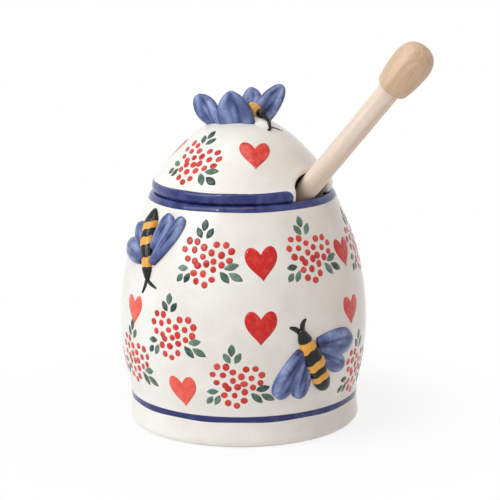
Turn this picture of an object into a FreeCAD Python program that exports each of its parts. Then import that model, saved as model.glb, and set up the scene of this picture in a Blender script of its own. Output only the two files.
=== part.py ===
import FreeCAD, Part
import math
import os

os.makedirs("parts", exist_ok=True)
V = FreeCAD.Vector
AXIS = V(0, 0, 1)

# Pot body, sizes in millimetres
foot_radius = 48.2          # outer edge of the flat ring it stands on
foot_ring_width = 5.0
foot_recess = 1.6           # hollow under the floor, inside the ring
heel_radius = 51.2          # rounded heel just above the ring
heel_height = 3.8
waist_radius = 50.6
waist_height = 12.5
hip_radius = 53.0           # wall below the belly
hip_height = 26.0
belly_radius = 55.0
belly_height = 47.0
shoulder_radius = 48.6
shoulder_height = 84.0
rim_radius = 39.2           # centre line of the rounded rim
rim_height = 103.5          # top of the rim, where the lid sits
rim_thickness = 4.0
rim_blend_deg = 25.0        # where the wall runs into the round of the rim
wall_thickness = 4.6
floor_thickness = 6.5
floor_corner = 8.0          # inside corner between floor and wall

# Lid
bead_radius = 39.9          # rolled edge of the lid
bead_height = 3.2           # its widest line above the rim
edge_radius = 39.3          # lid edge where it sits on the rim
dome_radius = 38.4          # where the bead runs into the dome
dome_start = 5.9
dome_height = 33.5          # top of the dome above the rim
slope_radius = 32.7         # the dome's lower side aims at this point
slope_height = 13.9
cap_radius = 18.1           # and leaves the flat top at this radius
dome_thickness = 4.6
flange_gap = 1.0            # play between the locating flange and the mouth
flange_thickness = 3.2
flange_depth = 6.0
notch_width = 27.2          # arch in the lid's edge that lets the dipper out
notch_leg = 2.5             # straight sides of the arch above the rim
notch_rise = 8.2            # flat arch above its straight sides
shaft_play = 1.2            # round the shaft where it passes under the arch
notch_inner = 16.0          # how near the axis the arch is cut

# Dipper, one turned shaft with a head and a grip knob glued on its ends
shaft_radius = 4.75
lean_deg = 42.0             # from upright, in the plane of the notch
rest_gap = 0.3              # between the shaft and the rounded rim
knob_start = 64.5           # along the shaft from the rim to the knob
knob_length = 23.0
knob_radius = 8.4
knob_neck_radius = 7.0
tenon_radius = 3.2
tenon_length = 12.0
glue_gap = 0.05
head_radius = 12.4
head_length = 31.0
head_core_radius = 7.4
head_ribs = 6
groove_share = 0.45         # groove width as a share of one rib pitch
head_wall_gap = 0.4         # between the head and the far wall of the pot

# Bees on the wall: angle round the pot from the notch, height, heading in
# degrees clockwise from upright as seen from outside, and wing sweep
front_bee_below_belly = 10.4
side_bee_below_rim = 17.6
wall_bees = {
    "front_bee": (-21.5, belly_height - front_bee_below_belly, -22.6, 0.0),
    "side_bee": (-110.5, rim_height - side_bee_below_rim, 164.5, 8.0),
}
bee_tail = 14.5             # tail tip behind the middle
bee_collar = 10.4           # end of the body ahead of the middle
bee_radius = 4.9
bee_lift = 0.6              # body axis above the wall
bee_head_radius = 3.5
bee_head_length = 7.4
wing_relief = 2.6
wing_widest = 0.62          # share of its length from the root
wing_root = 0.45            # width at the root, as a share of the widest
fore_root = (6.6, 2.6)      # ahead of the middle, out to the side
fore_tip = (-4.4, 22.8)
fore_half_width = 5.7
hind_root = (1.8, 3.2)
hind_tip = (-11.4, 13.3)
hind_half_width = 4.5

# Bee on the lid
crown_heading_deg = -7.0    # from the notch
crown_body_rise = 1.8       # body axis above the top of the dome
crown_tail_drop = 3.2
crown_tail = 15.5
crown_collar = 9.6
crown_head_radius = 2.7
crown_head_reach = 12.6     # middle of the head ahead of the lid's axis
crown_head_drop = 0.9
mound_half = (17.0, 6.4, 6.4)
mound_sink = 4.8            # centre of the mound below the top of the dome
crown_wing_thick = 2.2      # half thickness
crown_wing_widest = 0.4
crown_wing_sink = 6.0       # roots start this far below the top of the dome

# Standing wings: root and tip as ahead and left of the lid's axis, tip above
# the top of the dome, half width, root width as a share of it, outward bow,
# and how far the blade turns from the bee's heading
crown_wings = {
    "right_forewing": (4.3, -6.0, 4.4, -12.2, 11.9, 8.0, 1.0, 1.0, 33.0),
    "left_forewing": (1.2, 5.0, 13.3, 12.6, 12.6, 5.4, 0.62, 0.6, 25.0),
    "right_hindwing": (-4.4, -5.6, -14.2, -14.0, 8.6, 5.7, 0.68, 0.5, 45.0),
    "left_hindwing": (-4.2, 6.6, -7.0, 14.6, 9.6, 6.9, 0.85, 1.6, 0.0),
}


def line(a, b):
    return Part.makeLine(V(a[0], 0, a[1]), V(b[0], 0, b[1]))


def arc(a, b, c):
    return Part.Arc(V(a[0], 0, a[1]), V(b[0], 0, b[1]), V(c[0], 0, c[1])).toShape()


def curve(points):
    spline = Part.BSplineCurve()
    spline.interpolate([V(r, 0, z) for r, z in points])
    return spline.toShape()


def bend(poles):
    shape = Part.BezierCurve()
    shape.setPoles([V(r, 0, z) for r, z in poles])
    return shape.toShape()


def turned(edges):
    face = Part.Face(Part.Wire(edges))
    return face.revolve(V(0, 0, 0), AXIS, 360)


def largest(shape):
    return max(shape.Solids, key=lambda solid: solid.Volume)


def cut_back(shape, others):
    for other in others:
        shape = largest(shape.cut(other))
    return shape


def oval(centre, across, half_width, out, half_height, seam_deg=-90):  # seam on the hidden side
    ring = Part.Ellipse(centre + across * half_width, centre + out * half_height, centre)
    start = math.radians(seam_deg)
    return Part.Wire([ring.toShape(start, start + 2 * math.pi)])


def leaf_width(s, widest, root):
    if s > widest:
        return max(math.sqrt(max(1 - ((s - widest) / (1 - widest)) ** 2, 0)), 0.07)
    return root + (1 - root) * math.sin(math.pi / 2 * s / widest)


LEAF_STEPS = (0.0, 0.15, 0.32, 0.5, 0.66, 0.8, 0.9, 0.96, 0.99, 1.0)


# Pot body
half_rim = rim_thickness / 2
rim_middle = rim_height - half_rim
blend = math.radians(rim_blend_deg)
rim_outer = (rim_radius + half_rim * math.cos(blend), rim_middle + half_rim * math.sin(blend))
mouth_radius = rim_radius - half_rim
outer_wall = curve([(heel_radius, heel_height), (waist_radius, waist_height), (hip_radius, hip_height),
                    (belly_radius, belly_height), (shoulder_radius, shoulder_height), rim_outer])
heel = arc((foot_radius, 0),
           (foot_radius + (heel_radius - foot_radius) * 0.78, heel_height * 0.32),
           (heel_radius, heel_height))
rim_round = arc(rim_outer, (rim_radius, rim_height), (mouth_radius, rim_middle))
floor_radius = waist_radius - wall_thickness
inner_wall = curve([(mouth_radius, rim_middle),
                    (shoulder_radius - wall_thickness * 1.06, shoulder_height),
                    (belly_radius - wall_thickness, belly_height),
                    (hip_radius - wall_thickness, hip_height),
                    (floor_radius, floor_thickness + floor_corner)])
slant = floor_corner * (1 - math.sqrt(0.5))
corner = arc((floor_radius, floor_thickness + floor_corner),
             (floor_radius - slant, floor_thickness + slant),
             (floor_radius - floor_corner, floor_thickness))
ring_inner = foot_radius - foot_ring_width
pot_body = turned([
    line((0, foot_recess), (ring_inner - foot_recess, foot_recess)),
    line((ring_inner - foot_recess, foot_recess), (ring_inner, 0)),
    line((ring_inner, 0), (foot_radius, 0)),
    heel, outer_wall, rim_round, inner_wall, corner,
    line((floor_radius - floor_corner, floor_thickness), (0, floor_thickness)),
    line((0, floor_thickness), (0, foot_recess))])
pot_outer = turned([
    line((0, 0), (foot_radius, 0)), heel, outer_wall,
    line(rim_outer, (0, rim_outer[1])), line((0, rim_outer[1]), (0, 0))])

# Where the dipper's shaft leans on the rim
lean = math.radians(lean_deg)
stand_off = half_rim + rest_gap + shaft_radius
touch = V(rim_radius - stand_off * math.cos(lean), 0, rim_middle + stand_off * math.sin(lean))

# Lid shell: bead, dome, locating flange and the arch for the dipper
dome_top = rim_height + dome_height
flange_radius = mouth_radius - flange_gap
flange_inner = flange_radius - flange_thickness
flange_low = rim_height - flange_depth
dome_low = rim_height + dome_start
slope = rim_height + slope_height
bead = arc((edge_radius, rim_height), (bead_radius, rim_height + bead_height), (dome_radius, dome_low))
dome_outer = bend([(dome_radius, dome_low), (slope_radius, slope), (cap_radius, dome_top), (0, dome_top)])
hollow_top = dome_top - dome_thickness
hollow_start = dome_low - dome_thickness * 0.4
dome_inner = bend([(0, hollow_top), (cap_radius - dome_thickness * 0.55, hollow_top),
                   (slope_radius - dome_thickness * 0.7, slope - dome_thickness * 0.5),
                   (flange_inner, hollow_start)])
lid_shell = turned([
    line((flange_inner, hollow_start), (flange_inner, flange_low)),
    line((flange_inner, flange_low), (flange_radius, flange_low)),
    line((flange_radius, flange_low), (flange_radius, rim_height)),
    line((flange_radius, rim_height), (edge_radius, rim_height)),
    bead, dome_outer,
    line((0, dome_top), (0, hollow_top)),
    dome_inner])
lid_outer = turned([line((0, rim_height), (edge_radius, rim_height)), bead, dome_outer,
                    line((0, dome_top), (0, rim_height))])
notch_half = notch_width / 2
notch_reach = 2 * bead_radius
notch_spring = rim_height + notch_leg
notch_start = V(notch_inner, 0, notch_spring)
arch = Part.Face(oval(notch_start, V(0, 1, 0), notch_half, AXIS, notch_rise)).extrude(V(notch_reach, 0, 0))
legs = Part.makeBox(notch_reach, notch_width, notch_spring - flange_low + 1,
                    V(notch_inner, -notch_half, flange_low - 1))
shaft_line = V(math.sin(lean), 0, math.cos(lean))
shaft_way = Part.makeCylinder(shaft_radius + shaft_play, notch_reach, touch, shaft_line)
for cutter in (legs, arch, shaft_way):
    lid_shell = largest(lid_shell.cut(cutter))


# Bees laid on the wall
def wall_place(angle, climb):
    along = outer_wall.getParameterByLength(climb)
    spot = outer_wall.valueAt(along)
    rise = outer_wall.tangentAt(along)
    c, s = math.cos(angle), math.sin(angle)
    side = V(-s, c, 0)
    up = V(rise.x * c, rise.x * s, rise.z)
    return V(spot.x * c, spot.x * s, spot.z), side, up, side.cross(up), spot.x


def climb_of(height):
    low, high = 0.0, outer_wall.Length
    for _ in range(40):
        middle = (low + high) / 2
        if outer_wall.valueAt(outer_wall.getParameterByLength(middle)).z < height:
            low = middle
        else:
            high = middle
    return low


def wall_bee(name, angle_deg, height, heading_deg, sweep_deg):
    heading = math.radians(heading_deg)
    start = climb_of(height)
    girth = wall_place(0, start)[4]

    def place(ahead, aside):
        u = ahead * math.sin(heading) + aside * math.cos(heading)
        v = ahead * math.cos(heading) - aside * math.sin(heading)
        spot, side, up, out, _ = wall_place(math.radians(angle_deg) + u / girth, start + v)
        forward = side * math.sin(heading) + up * math.cos(heading)
        right = side * math.cos(heading) - up * math.sin(heading)
        return spot, forward, right, out

    def roll(first, last, radius_at, lift, seam_deg):
        rings = []
        for s in (0.0, 0.04, 0.12, 0.25, 0.4, 0.55, 0.7, 0.82, 0.92, 0.98, 1.0):
            spot, forward, right, out = place(first + (last - first) * s, 0)
            radius = radius_at(s)
            rings.append(oval(spot + out * lift, right, radius, out, radius * 0.98, seam_deg))
        return Part.makeLoft(rings, True)

    def wing(root, tip, half_width, hand):
        turn = math.radians(sweep_deg)
        reach = (tip[0] - root[0], tip[1] - root[1])
        reach = (reach[0] * math.cos(turn) - reach[1] * math.sin(turn),
                 reach[0] * math.sin(turn) + reach[1] * math.cos(turn))
        size = math.hypot(reach[0], reach[1])
        rings = []
        for s in LEAF_STEPS:
            spot, forward, right, out = place(root[0] + reach[0] * s, hand * (root[1] + reach[1] * s))
            across = forward * (reach[1] / size) - right * (hand * reach[0] / size)
            share = leaf_width(s, wing_widest, wing_root)
            width = half_width * share
            thick = min(wing_relief * (0.5 + 0.5 * share), 0.9 * width)
            rings.append(oval(spot, across, width, out, thick))
        return Part.makeLoft(rings, True)

    def body_radius(s):
        return bee_radius * math.sin(math.pi * (0.03 + 0.77 * s)) ** 0.8

    def head_radius_at(s):
        return bee_head_radius * max(math.sin(math.pi * (0.3 + 0.69 * s)), 0.06) ** 0.7

    body = roll(-bee_tail, bee_collar, body_radius, bee_lift, -90)
    head = roll(bee_collar - 1, bee_collar - 1 + bee_head_length, head_radius_at, bee_lift, -60)
    pieces = {"body": cut_back(body, [pot_outer]), "head": cut_back(head, [body, pot_outer])}
    for hand_name, hand in (("left", -1), ("right", 1)):
        fore = wing(fore_root, fore_tip, fore_half_width, hand)
        hind = wing(hind_root, hind_tip, hind_half_width, hand)
        pieces[hand_name + "_forewing"] = cut_back(fore, [body, head, pot_outer])
        pieces[hand_name + "_hindwing"] = cut_back(hind, [body, fore, pot_outer])
    return {name + "_" + key: solid for key, solid in pieces.items()}


# Bee standing on the lid
def crown_bee():
    facing = math.radians(crown_heading_deg)
    forward = V(math.cos(facing), math.sin(facing), 0)
    left = V(-math.sin(facing), math.cos(facing), 0)
    rise = dome_top + crown_body_rise

    def body_ring(s):
        ahead = -crown_tail + (crown_tail + crown_collar) * s
        drop = crown_tail_drop * (1 - s) ** 2
        radius = bee_radius * math.sin(math.pi * (0.03 + 0.77 * s)) ** 0.8
        return oval(forward * ahead + AXIS * (rise - drop), left, radius, AXIS, radius * 0.98)

    body = Part.makeLoft([body_ring(s) for s in (0, 0.04, 0.12, 0.25, 0.4, 0.55, 0.7, 0.85, 0.95, 1)], True)
    swell = FreeCAD.Matrix()
    swell.scale(mound_half[0], mound_half[1], mound_half[2])
    mound = Part.makeSphere(1.0).transformGeometry(swell)
    mound.rotate(V(0, 0, 0), AXIS, crown_heading_deg)
    mound.translate(AXIS * (dome_top - mound_sink))
    head = Part.makeSphere(crown_head_radius, forward * crown_head_reach + AXIS * (rise - crown_head_drop))
    pieces = {"mound": cut_back(mound, [lid_outer]), "body": cut_back(body, [mound, lid_outer]),
              "head": cut_back(head, [mound, body, lid_outer])}
    done = [mound, body, head]

    for key, sizes in crown_wings.items():
        root_ahead, root_left, tip_ahead, tip_left, tip_rise, half_width, root_share, bow, turn_deg = sizes
        root = forward * root_ahead + left * root_left + AXIS * (dome_top - crown_wing_sink)
        tip = forward * tip_ahead + left * tip_left + AXIS * (dome_top + tip_rise)
        spine = (tip - root).normalize()
        turn = math.radians(turn_deg)
        face = forward * math.cos(turn) + left * math.sin(turn)
        across = (face - spine * spine.dot(face)).normalize()
        out = across.cross(spine).normalize()
        if out.dot(left) * tip_left < 0:
            out = out * -1
        rings = []
        for s in LEAF_STEPS:
            spot = root + (tip - root) * s + out * (bow * 4 * s * (1 - s))
            share = leaf_width(s, crown_wing_widest, root_share)
            width = half_width * share
            thick = min(crown_wing_thick * (0.55 + 0.45 * share), 0.9 * width)
            rings.append(oval(spot, across, width, out, thick))
        blade = Part.makeLoft(rings, True)
        pieces[key] = cut_back(blade, done + [lid_outer])
        done.append(blade)
    return {"lid_bee_" + key: solid for key, solid in pieces.items()}


# Dipper, drawn upright along Z from the rim and then leaned over
def dipper_parts():
    def leaned(shape, slide):
        placed = shape.copy()
        placed.translate(AXIS * slide)
        placed.rotate(V(0, 0, 0), V(0, 1, 0), lean_deg)
        placed.translate(touch)
        return placed

    bore = tenon_radius + glue_gap
    pitch = head_length / head_ribs
    land = pitch * (1 - groove_share)

    def rib_radius(z):
        share = (z - head_length / 2) / (head_length / 2)
        return head_radius * math.sqrt(1 - 0.52 * share * share)

    edges = []
    here = (0, 0)
    for rib in range(head_ribs):
        low = rib * pitch
        mid = low + land / 2
        top = low + land
        round_points = [(rib_radius(z) - 0.5, z) for z in (low, top)]
        edges.append(line(here, round_points[0]))
        edges.append(arc(round_points[0], (rib_radius(mid), mid), round_points[1]))
        here = round_points[1]
        if rib < head_ribs - 1:
            edges.append(line(here, (head_core_radius, top)))
            edges.append(line((head_core_radius, top), (head_core_radius, low + pitch)))
            here = (head_core_radius, low + pitch)
    head_top = here[1]
    edges.append(line(here, (bore, head_top)))
    edges.append(line((bore, head_top), (bore, head_top - tenon_length)))
    edges.append(line((bore, head_top - tenon_length), (0, head_top - tenon_length)))
    edges.append(line((0, head_top - tenon_length), (0, 0)))
    head = turned(edges)

    crossing = -touch.x / math.sin(lean)
    high, low = crossing - head_length / 2, crossing - belly_radius / math.sin(lean)
    for _ in range(14):
        middle = (high + low) / 2
        if leaned(head, middle).distToShape(pot_body)[0] > head_wall_gap:
            high = middle
        else:
            low = middle
    shaft_low = high + head_top

    shaft = Part.makeCylinder(shaft_radius, knob_start - shaft_low, V(0, 0, shaft_low))
    for start in (shaft_low - tenon_length + glue_gap, knob_start):
        shaft = shaft.fuse(Part.makeCylinder(tenon_radius, tenon_length - glue_gap, V(0, 0, start)))
    shaft = largest(shaft.removeSplitter())

    swell = knob_length * 0.6
    knob_side = bend([(knob_neck_radius, 0.8), (knob_radius, knob_length * 0.3),
                      (knob_radius, swell)])
    knob_end = bend([(knob_radius, swell), (knob_radius, knob_length * 0.87),
                     (knob_radius * 0.66, knob_length), (0, knob_length)])
    knob = turned([
        line((bore, 0), (knob_neck_radius - 0.8, 0)),
        arc((knob_neck_radius - 0.8, 0), (knob_neck_radius - 0.24, 0.24), (knob_neck_radius, 0.8)),
        knob_side, knob_end,
        line((0, knob_length), (0, tenon_length)),
        line((0, tenon_length), (bore, tenon_length)),
        line((bore, tenon_length), (bore, 0))])
    return {"dipper_shaft": leaned(shaft, 0), "dipper_grip_knob": leaned(knob, knob_start),
            "dipper_head": leaned(head, high)}


nodes = {"pot_body": pot_body, "lid_shell": lid_shell}
for bee_name, bee_sizes in wall_bees.items():
    nodes.update(wall_bee(bee_name, *bee_sizes))
nodes.update(crown_bee())
nodes.update(dipper_parts())

for node_name, solid in nodes.items():
    solid.exportStep("parts/" + node_name + ".step")
    print(node_name, len(solid.Solids), solid.isValid(), round(solid.Volume, 1))
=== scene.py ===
import bisect
import math
import random

import bmesh
import bpy
from mathutils import Matrix, Vector


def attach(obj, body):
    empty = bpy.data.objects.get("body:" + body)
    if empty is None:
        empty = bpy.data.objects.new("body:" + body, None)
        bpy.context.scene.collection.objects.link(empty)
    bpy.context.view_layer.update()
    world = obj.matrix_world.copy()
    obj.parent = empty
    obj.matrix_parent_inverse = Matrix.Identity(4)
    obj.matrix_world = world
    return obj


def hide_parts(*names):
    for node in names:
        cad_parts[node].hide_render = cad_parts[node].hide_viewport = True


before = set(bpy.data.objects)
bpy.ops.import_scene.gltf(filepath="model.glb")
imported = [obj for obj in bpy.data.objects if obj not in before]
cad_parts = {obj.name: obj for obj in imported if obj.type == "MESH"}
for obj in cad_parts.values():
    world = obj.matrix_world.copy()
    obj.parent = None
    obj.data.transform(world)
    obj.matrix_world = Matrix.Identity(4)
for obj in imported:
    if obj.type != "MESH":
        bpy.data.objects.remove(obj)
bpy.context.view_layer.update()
scene = bpy.context.scene
mm = 0.001
near = 1e-6  # mm at which two places count as one
print("frame loaded:", len(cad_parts), "nodes")


def tone(red, green, blue):  # screen colour, 0 to 255, as scene colour
    def straight(c):
        c /= 255
        return c / 12.92 if c <= 0.04045 else ((c + 0.055) / 1.055) ** 2.4
    return (straight(red), straight(green), straight(blue), 1.0)


def seen(degrees):  # angle to the right of the viewer's middle line, as a turn round the pot
    return math.radians(degrees - 54.0)


def clamped(value):
    return min(max(value, 0.0), 1.0)


def turnsOf(count):  # equal steps once round
    return [2 * math.pi * k / count for k in range(count)]


# shader helpers
def addNode(tree, kind, props=None, **sockets):
    made = tree.nodes.new("ShaderNode" + kind)
    for key, value in (props or {}).items():
        setattr(made, key, value)
    for key, value in sockets.items():
        made.inputs[key].default_value = value
    return made


def wire(tree, source, target):
    tree.links.new(source, target)


def feed(tree, value, socket):  # a socket takes a link or a plain value
    if isinstance(value, bpy.types.NodeSocket):
        tree.links.new(value, socket)
    else:
        socket.default_value = value


def mixColor(tree, share, first, second):
    made = addNode(tree, "Mix", {"data_type": "RGBA", "blend_type": "MIX", "clamp_factor": True})
    feed(tree, share, made.inputs[0])
    feed(tree, first, made.inputs[6])
    feed(tree, second, made.inputs[7])
    return made.outputs[2]


def calc(tree, operation, first, second=0.0, clamp=False):
    made = addNode(tree, "Math", {"operation": operation, "use_clamp": clamp})
    feed(tree, first, made.inputs[0])
    feed(tree, second, made.inputs[1])
    return made.outputs[0]


def spread(tree, value, low, high, toLow=0.0, toHigh=1.0):
    made = addNode(tree, "MapRange", {"clamp": True, "interpolation_type": "SMOOTHSTEP"})
    feed(tree, value, made.inputs["Value"])
    for key, number in (("From Min", low), ("From Max", high), ("To Min", toLow), ("To Max", toHigh)):
        made.inputs[key].default_value = number
    return made.outputs["Result"]


def noise(tree, place, scale, detail=3.0, rough=0.55, warp=0.0):
    made = addNode(tree, "TexNoise", None, Scale=scale, Detail=detail, Roughness=rough, Distortion=warp)
    wire(tree, place, made.inputs["Vector"])
    return made.outputs["Fac"]


def mark(tree, label):  # value painted on the mesh points
    return addNode(tree, "Attribute", {"attribute_name": label}).outputs["Fac"]


def addBump(tree, shader, height, strength, depth):
    bump = addNode(tree, "Bump", None, Strength=strength, Distance=depth * mm)
    wire(tree, height, bump.inputs["Height"])
    wire(tree, bump.outputs["Normal"], shader.inputs["Normal"])


def directRays(tree):  # 1 for what the viewer sees, straight, in a reflection or through a clear body
    path = addNode(tree, "LightPath")
    direct = calc(tree, "MAXIMUM", path.outputs["Is Camera Ray"], path.outputs["Is Glossy Ray"])
    return calc(tree, "MAXIMUM", direct, path.outputs["Is Transmission Ray"])


def newGroup(name, inputs, outputs):
    tree = bpy.data.node_groups.new(name, "ShaderNodeTree")
    for label, kind, value in inputs:
        socket = tree.interface.new_socket(label, in_out="INPUT", socket_type="NodeSocket" + kind)
        socket.default_value = value
    for label, kind in outputs:
        tree.interface.new_socket(label, in_out="OUTPUT", socket_type="NodeSocket" + kind)
    return tree, tree.nodes.new("NodeGroupInput"), tree.nodes.new("NodeGroupOutput")


def useGroup(tree, group, **values):
    made = tree.nodes.new("ShaderNodeGroup")
    made.node_tree = group
    for key, value in values.items():
        feed(tree, value, made.inputs[key])
    return made


# surface effects that several finishes share
def buildGlazeSkin():  # slow waves, orange peel and pinholes of a dipped clear glaze
    tree, enter, leave = newGroup(
        "glazeSkin",
        [("Wave", "Float", 1.0), ("Peel", "Float", 1.0)],
        [("Height", "Float"), ("Gloss", "Float"), ("Mottle", "Float")])
    place = addNode(tree, "TexCoord").outputs["Object"]
    wave = noise(tree, place, 75.0, 2.0)
    peel = noise(tree, place, 620.0, 3.0)
    pits = addNode(tree, "TexVoronoi", None, Scale=260.0)
    wire(tree, place, pits.inputs["Vector"])
    pit = spread(tree, pits.outputs["Distance"], 0.02, 0.07)
    height = calc(tree, "MULTIPLY", wave, enter.outputs["Wave"])
    fine = calc(tree, "MULTIPLY", peel, enter.outputs["Peel"])
    height = calc(tree, "ADD", height, calc(tree, "MULTIPLY", fine, 0.16))
    height = calc(tree, "ADD", height, calc(tree, "MULTIPLY", pit, 0.05))
    wire(tree, height, leave.inputs["Height"])
    wire(tree, spread(tree, noise(tree, place, 210.0, 4.0), 0.3, 0.75, 0.07, 0.15), leave.inputs["Gloss"])
    wire(tree, noise(tree, place, 48.0, 4.0, 0.6), leave.inputs["Mottle"])
    return tree


def buildBrushWash():  # colour that lies thick and thin, as a brush or sponge leaves it
    tree, enter, leave = newGroup(
        "brushWash",
        [("Thick", "Color", (0, 0, 0, 1)), ("Thin", "Color", (1, 1, 1, 1)), ("Wash", "Float", 0.5),
         ("Grain", "Float", 420.0)],
        [("Color", "Color")])
    place = addNode(tree, "TexCoord").outputs["Object"]
    cloud = addNode(tree, "TexNoise", None, Detail=4.0, Roughness=0.6, Distortion=0.4)
    wire(tree, place, cloud.inputs["Vector"])
    wire(tree, enter.outputs["Grain"], cloud.inputs["Scale"])
    share = calc(tree, "MULTIPLY", spread(tree, cloud.outputs["Fac"], 0.3, 0.72), 0.55)
    share = calc(tree, "ADD", share, calc(tree, "SUBTRACT", enter.outputs["Wash"], 0.28), clamp=True)
    wire(tree, mixColor(tree, share, enter.outputs["Thick"], enter.outputs["Thin"]), leave.inputs["Color"])
    return tree


def buildTurnedGrain():  # long wood fibres, pores and faint turning rings
    tree, enter, leave = newGroup(
        "turnedGrain",
        [("Pale", "Color", (1, 1, 1, 1)), ("Dark", "Color", (0, 0, 0, 1)), ("Figure", "Float", 1.0)],
        [("Color", "Color"), ("Height", "Float"), ("Gloss", "Float")])
    place = addNode(tree, "TexCoord").outputs["Object"]
    long = addNode(tree, "Mapping")
    long.inputs["Scale"].default_value = (1.0, 1.0, 0.06)
    wire(tree, place, long.inputs["Vector"])
    fibre = noise(tree, long.outputs["Vector"], 900.0, 5.0, 0.65)
    figure = noise(tree, long.outputs["Vector"], 190.0, 3.0, 0.5, 0.6)
    pores = addNode(tree, "TexVoronoi", None, Scale=1500.0)
    wire(tree, long.outputs["Vector"], pores.inputs["Vector"])
    pore = spread(tree, pores.outputs["Distance"], 0.05, 0.22, 1.0, 0.0)
    rings = addNode(tree, "TexWave", {"bands_direction": "Z"}, Scale=240.0, Distortion=1.5, Detail=2.0)
    wire(tree, place, rings.inputs["Vector"])
    share = calc(tree, "MULTIPLY", spread(tree, figure, 0.36, 0.68), enter.outputs["Figure"])
    share = calc(tree, "ADD", calc(tree, "MULTIPLY", share, 0.6),
                 calc(tree, "MULTIPLY", spread(tree, fibre, 0.4, 0.75), 0.4))
    share = calc(tree, "ADD", share, calc(tree, "MULTIPLY", pore, 0.22), clamp=True)
    wire(tree, mixColor(tree, share, enter.outputs["Pale"], enter.outputs["Dark"]), leave.inputs["Color"])
    height = calc(tree, "SUBTRACT", fibre, calc(tree, "MULTIPLY", pore, 0.5))
    height = calc(tree, "ADD", height, calc(tree, "MULTIPLY", rings.outputs["Fac"], 0.25))
    wire(tree, height, leave.inputs["Height"])
    wire(tree, spread(tree, fibre, 0.3, 0.8, 0.5, 0.68), leave.inputs["Gloss"])
    return tree


glazeSkin = buildGlazeSkin()
brushWash = buildBrushWash()
turnedGrain = buildTurnedGrain()


def newFinish(name):
    made = bpy.data.materials.new(name)
    made.use_nodes = True
    tree = made.node_tree
    return made, tree, tree.nodes["Principled BSDF"]


def glazed(name, wave=1.0, peel=1.0, depth=0.12):  # glossy finish, its colour is wired by the caller
    made, tree, shader = newFinish(name)
    skin = useGroup(tree, glazeSkin, Wave=wave, Peel=peel)
    addBump(tree, shader, skin.outputs["Height"], 0.35, depth)
    wire(tree, skin.outputs["Gloss"], shader.inputs["Roughness"])
    shader.inputs["IOR"].default_value = glazeIndex
    return made, tree, shader, skin


# finishes
glazeIndex = 1.4
clayRoughness = 0.75
whiteColors = {"body": tone(243, 240, 233), "shade": tone(233, 228, 219), "clay": tone(201, 172, 146)}
paintColors = {
    "heartPaint": (tone(208, 18, 16), tone(244, 100, 81), 380.0),
    "berryPaint": (tone(197, 30, 28), tone(226, 82, 70), 520.0),
    "leafPaint": (tone(29, 63, 54), tone(124, 153, 134), 460.0),
    "cobaltPaint": (tone(38, 44, 104), tone(90, 102, 164), 150.0),
    "feelerPaint": (tone(14, 14, 17), tone(52, 50, 52), 500.0),
}


def whiteFinish():
    made, tree, shader, skin = glazed("whiteGlaze", 1.0, 0.6)
    cloud = spread(tree, skin.outputs["Mottle"], 0.35, 0.75)
    white = mixColor(tree, cloud, whiteColors["body"], whiteColors["shade"])
    bare = mark(tree, "bare")
    wire(tree, mixColor(tree, bare, white, whiteColors["clay"]), shader.inputs["Base Color"])
    rough = addNode(tree, "Mix", {"data_type": "FLOAT"})
    wire(tree, bare, rough.inputs[0])
    wire(tree, skin.outputs["Gloss"], rough.inputs[2])
    rough.inputs[3].default_value = clayRoughness
    wire(tree, rough.outputs[0], shader.inputs["Roughness"])
    return made


def paintFinish(name):
    thick, thin, grain = paintColors[name]
    made, tree, shader, skin = glazed(name)
    wash = useGroup(tree, brushWash, Thick=thick, Thin=thin, Wash=mark(tree, "wash"), Grain=grain)
    wire(tree, wash.outputs["Color"], shader.inputs["Base Color"])
    return made


wingColors = {"pale": tone(152, 167, 208), "middle": tone(97, 111, 163), "deep": tone(40, 46, 98)}


def wingFinish():
    made, tree, shader, skin = glazed("wingGlaze", 1.4, 0.8, 0.2)
    place = addNode(tree, "TexCoord").outputs["Object"]
    streak = calc(tree, "MULTIPLY", calc(tree, "SUBTRACT", noise(tree, place, 260.0, 4.0, 0.62, 0.6), 0.5), 0.8)
    # this mark holds the pooled wash and the painted shade at the wing's root
    share = calc(tree, "ADD", mark(tree, "inkAndShade"), streak, clamp=True)
    ramp = addNode(tree, "ValToRGB")
    ramp.color_ramp.elements[0].color = wingColors["pale"]
    ramp.color_ramp.elements[0].position = 0.06
    ramp.color_ramp.elements[1].color = wingColors["deep"]
    ramp.color_ramp.elements[1].position = 0.9
    ramp.color_ramp.elements.new(0.42).color = wingColors["middle"]
    wire(tree, share, ramp.inputs["Fac"])
    wire(tree, ramp.outputs["Color"], shader.inputs["Base Color"])
    return made


beeColors = {
    "amber": tone(226, 150, 40), "honey": tone(243, 190, 92), "black": tone(12, 12, 14), "worn": tone(40, 38, 38),
}


def beePaint(tree, thick, thin, wash, grain):
    made = useGroup(tree, brushWash, Thick=beeColors[thick], Thin=beeColors[thin], Wash=wash, Grain=grain)
    return made.outputs["Color"]


def stripeFinish():
    made, tree, shader, skin = glazed("beeStripes", 1.2, 0.7, 0.15)
    yellow = beePaint(tree, "amber", "honey", 0.42, 300.0)
    black = beePaint(tree, "black", "worn", 0.2, 420.0)
    band = spread(tree, mark(tree, "stripe"), 0.38, 0.62)
    wire(tree, mixColor(tree, band, yellow, black), shader.inputs["Base Color"])
    return made


def blackFinish():
    made, tree, shader, skin = glazed("beeBlack", 1.2, 0.8, 0.15)
    wire(tree, beePaint(tree, "black", "worn", 0.2, 420.0), shader.inputs["Base Color"])
    return made


woodColors = {
    "shaftWood": (tone(241, 223, 207), tone(215, 189, 166), 0.8),
    "knobWood": (tone(226, 196, 165), tone(194, 160, 128), 1.0),
}


def woodFinish(name):
    pale, dark, figure = woodColors[name]
    made, tree, shader = newFinish(name)
    grain = useGroup(tree, turnedGrain, Pale=pale, Dark=dark, Figure=figure)
    wire(tree, grain.outputs["Color"], shader.inputs["Base Color"])
    wire(tree, grain.outputs["Gloss"], shader.inputs["Roughness"])
    addBump(tree, shader, grain.outputs["Height"], 0.3, 0.12)
    return made


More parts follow.
